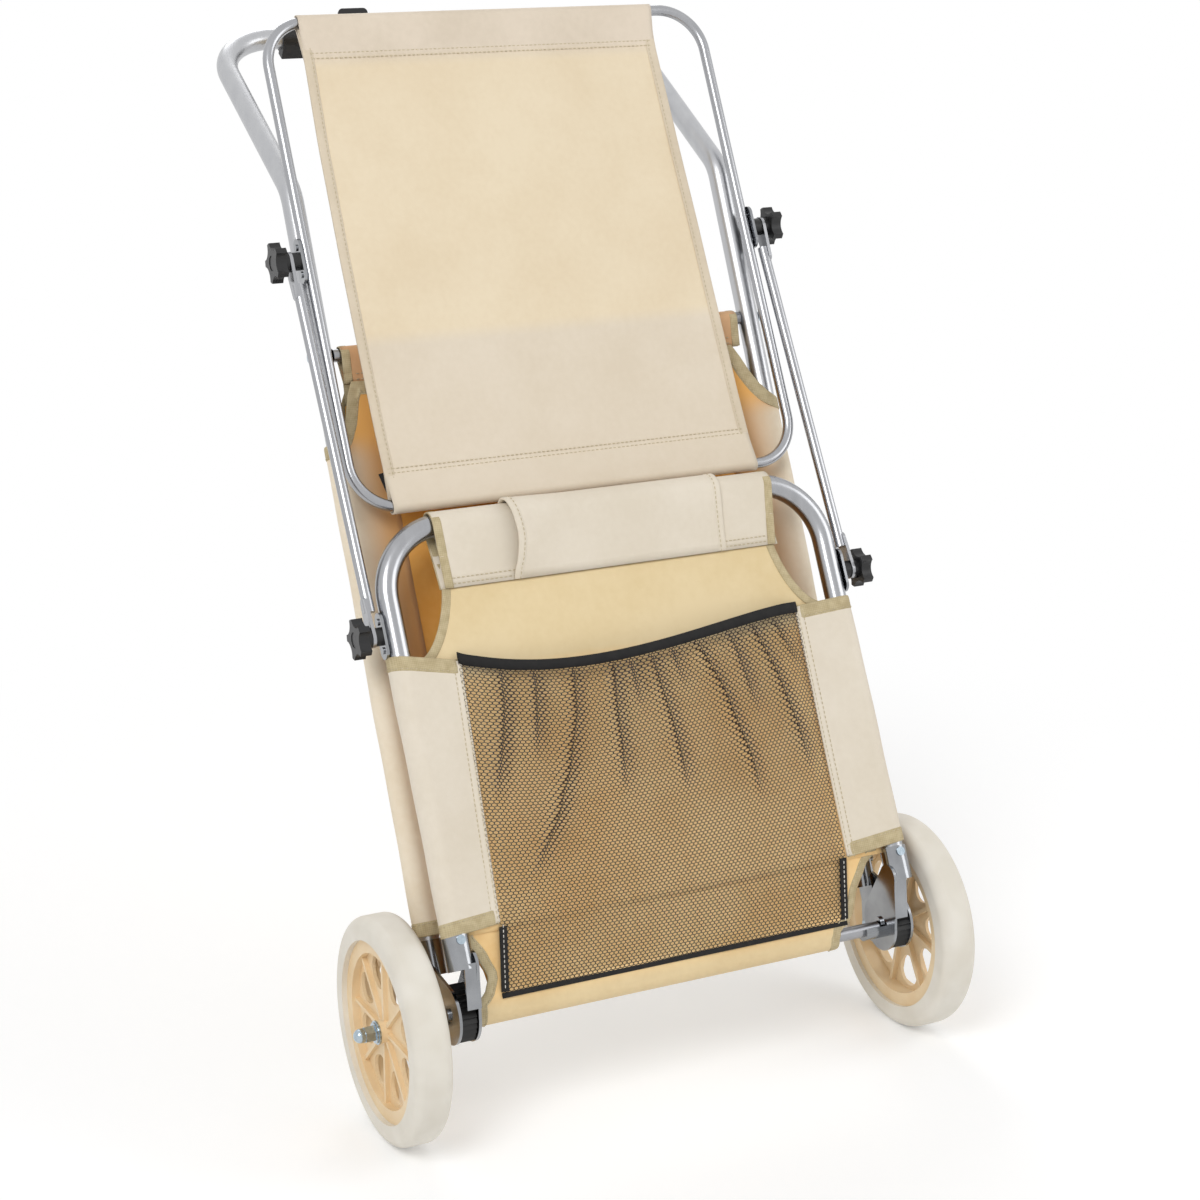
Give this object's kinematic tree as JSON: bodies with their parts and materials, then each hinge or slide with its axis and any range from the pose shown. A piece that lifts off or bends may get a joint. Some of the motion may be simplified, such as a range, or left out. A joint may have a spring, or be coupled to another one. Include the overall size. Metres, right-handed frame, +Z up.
{
  "type": "beach cart",
  "caption": "Folding two-wheeled beach cart that opens into a lounger: tube frames on ratchet hinges, fabric panels, mesh pocket and a tilting sun canopy on struts clamped by star knobs.",
  "frame": {"origin": "middle of the footprint, on the ground under the folded cart as it leans in the picture", "axes": "+X along the wheel axle to the viewer's right, +Y from the load side towards the handle bar, +Z up"},
  "size_m": [0.588, 0.637, 0.9276],
  "materials": {
    "aluminium": "satin clear-anodised tube",
    "steel_plate": "nickel-plated pressed steel",
    "zinc": "bright zinc-plated fasteners",
    "black_plastic": "fine-grained moulded plastic",
    "hub_plastic": "moulded plastic, satin",
    "tyre": "solid foamed tyre, matt",
    "fabric_light": "plain woven polyester",
    "fabric_warm": "plain woven polyester, warmer shade",
    "mesh": "black knitted mesh over fabric",
    "elastic": "black elastic band",
    "spacer_grey": "moulded plastic"
  },
  "bodies": {
    "handle_frame": {"handle_tube": "aluminium", "rear_cross_tube": "aluminium", "cross_tube_screws": "zinc", "rear_panel": "fabric_warm", "rear_hinge_left": "steel_plate", "rear_hinge_right": "steel_plate", "rear_hinge_screws": "zinc", "ratchet_disc_left": "black_plastic", "ratchet_disc_right": "black_plastic", "hinge_rivet_left": "zinc", "hinge_rivet_right": "zinc", "axle_bolt_left": "zinc", "axle_bolt_right": "zinc", "axle_spacer_left": "spacer_grey", "axle_spacer_right": "spacer_grey", "axle_washers_left": "zinc", "axle_washers_right": "zinc", "acorn_nut_left": "zinc", "acorn_nut_right": "zinc", "handle_feet": "black_plastic"},
    "back_frame": {"back_tube": "aluminium", "bottom_cross_tube": "aluminium", "front_hinge_left": "steel_plate", "front_hinge_right": "steel_plate", "front_hinge_screws": "zinc", "front_panel": "fabric_light", "top_band": "fabric_light", "mesh_pocket": "mesh", "pocket_band": "elastic", "lower_bracket_left": "steel_plate", "lower_bracket_right": "steel_plate", "lower_rivets": "zinc", "lower_bolts": "zinc", "lower_spacers": "black_plastic"},
    "struts": {"strut_left": "aluminium", "strut_right": "aluminium"},
    "canopy": {"canopy_tube": "aluminium", "canopy_fabric": "fabric_light", "upper_bracket_left": "steel_plate", "upper_bracket_right": "steel_plate", "upper_rivets": "zinc", "upper_bolts": "zinc", "upper_spacers": "black_plastic", "canopy_clip": "black_plastic"},
    "knob_lower_left": {"knob_lower_left": "black_plastic"},
    "knob_upper_left": {"knob_upper_left": "black_plastic"},
    "wheel_left": {"hub_left": "hub_plastic", "tyre_left": "tyre"},
    "knob_lower_right": {"knob_lower_right": "black_plastic"},
    "knob_upper_right": {"knob_upper_right": "black_plastic"},
    "wheel_right": {"hub_right": "hub_plastic", "tyre_right": "tyre"}
  },
  "joints": [
    {"name": "frame_fold", "type": "hinge", "parent": "handle_frame", "child": "back_frame", "pos_m": [0, -0.26098, 0.12485], "axis": [1, 0, 0], "range_deg": [0, 180]},
    {"name": "strut_swing", "type": "hinge", "parent": "back_frame", "child": "struts", "pos_m": [0, -0.13712, 0.42595], "axis": [1, 0, 0], "range_deg": [0, 110]},
    {"name": "canopy_tilt", "type": "hinge", "parent": "struts", "child": "canopy", "pos_m": [0, 0.04309, 0.72015], "axis": [1, 0, 0], "range_deg": [-110, 0]},
    {"name": "wheel_spin_left", "type": "hinge", "parent": "handle_frame", "child": "wheel_left", "pos_m": [-0.258, -0.21856, 0.1], "axis": [1, 0, 0], "continuous": true},
    {"name": "knob_turn_lower_left", "type": "hinge", "parent": "back_frame", "child": "knob_lower_left", "pos_m": [-0.246, -0.13712, 0.42595], "axis": [1, 0, 0], "range_deg": [-360, 360]},
    {"name": "knob_turn_upper_left", "type": "hinge", "parent": "canopy", "child": "knob_upper_left", "pos_m": [-0.246, 0.04309, 0.72015], "axis": [1, 0, 0], "range_deg": [-360, 360]},
    {"name": "wheel_spin_right", "type": "hinge", "parent": "handle_frame", "child": "wheel_right", "pos_m": [0.258, -0.21856, 0.1], "axis": [1, 0, 0], "continuous": true},
    {"name": "knob_turn_lower_right", "type": "hinge", "parent": "back_frame", "child": "knob_lower_right", "pos_m": [0.246, -0.13712, 0.42595], "axis": [1, 0, 0], "range_deg": [-360, 360]},
    {"name": "knob_turn_upper_right", "type": "hinge", "parent": "canopy", "child": "knob_upper_right", "pos_m": [0.246, 0.04309, 0.72015], "axis": [1, 0, 0], "range_deg": [-360, 360]}
  ],
  "couplings": [
    {"joint": "canopy_tilt", "follows": "strut_swing", "ratio": -1}
  ]
}
